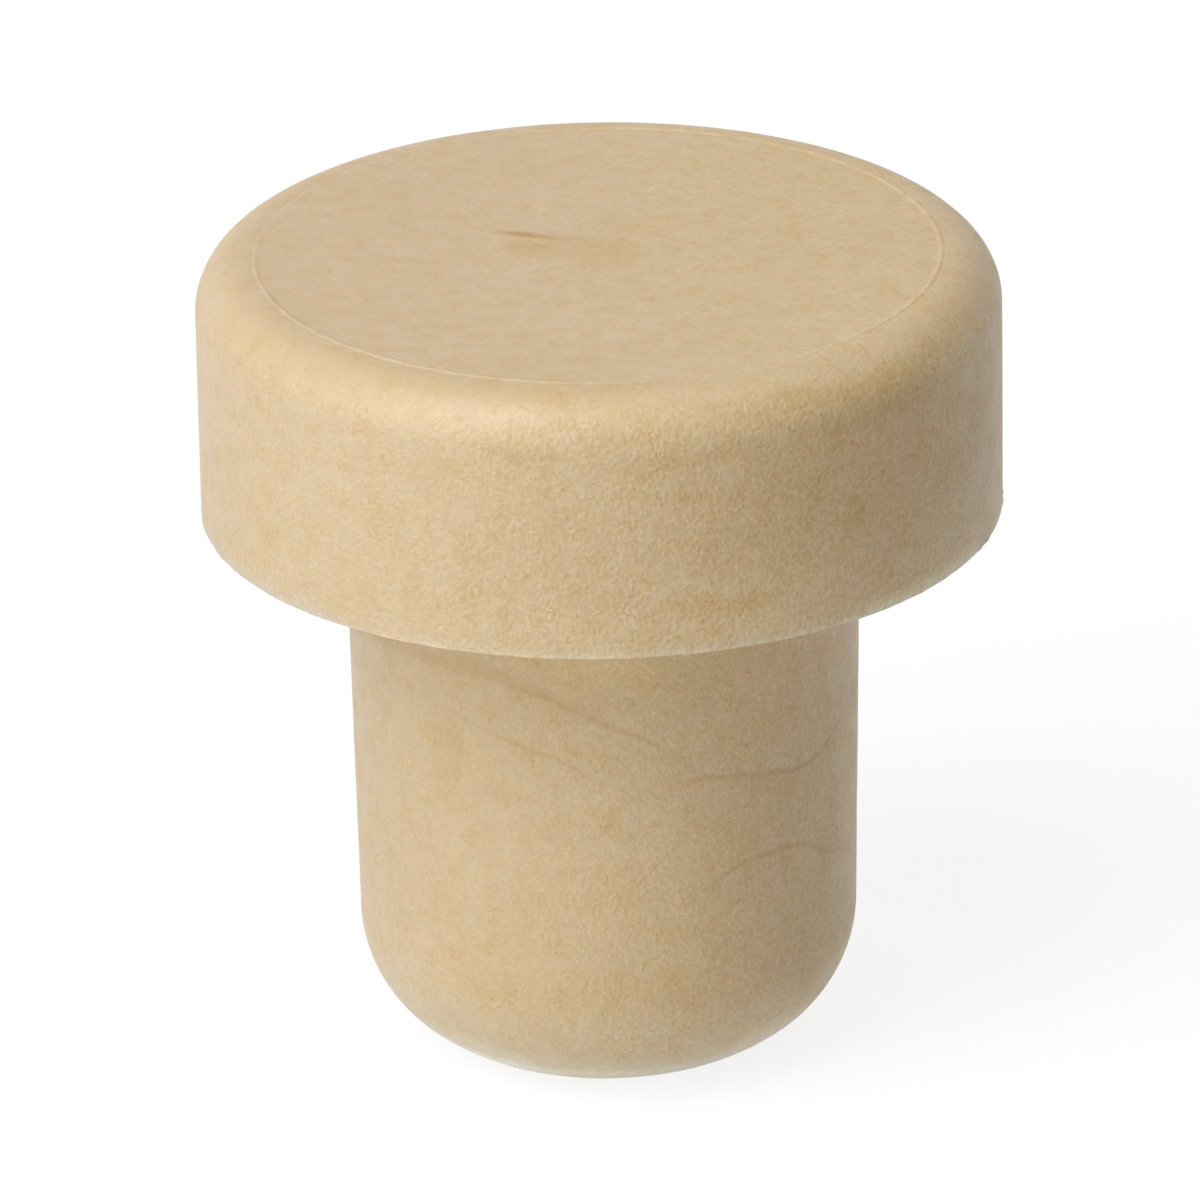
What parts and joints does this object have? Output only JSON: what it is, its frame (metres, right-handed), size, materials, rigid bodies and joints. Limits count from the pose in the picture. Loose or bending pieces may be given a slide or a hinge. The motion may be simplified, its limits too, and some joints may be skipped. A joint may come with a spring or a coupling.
{
  "type": "cork stopper",
  "caption": "T-shaped bottle stopper: a wide round head with a rounded shoulder and a fine raised ring on its flat top, on a slightly tapered leg with a rounded foot.",
  "frame": {"origin": "on the axis, in the plane of the head's underside, where the stopper seats on the bottle's rim", "axes": "+Z along the axis, from the leg towards the head; the form is round, so X and Y are any two directions across it"},
  "size_m": [0.03, 0.03, 0.0315],
  "materials": {
    "cork": "satin-matte moulded foam in a cork tint, with fine fibre-like speckle and soft flow streaks"
  },
  "bodies": {
    "root": {"stopper": "cork"}
  },
  "joints": []
}
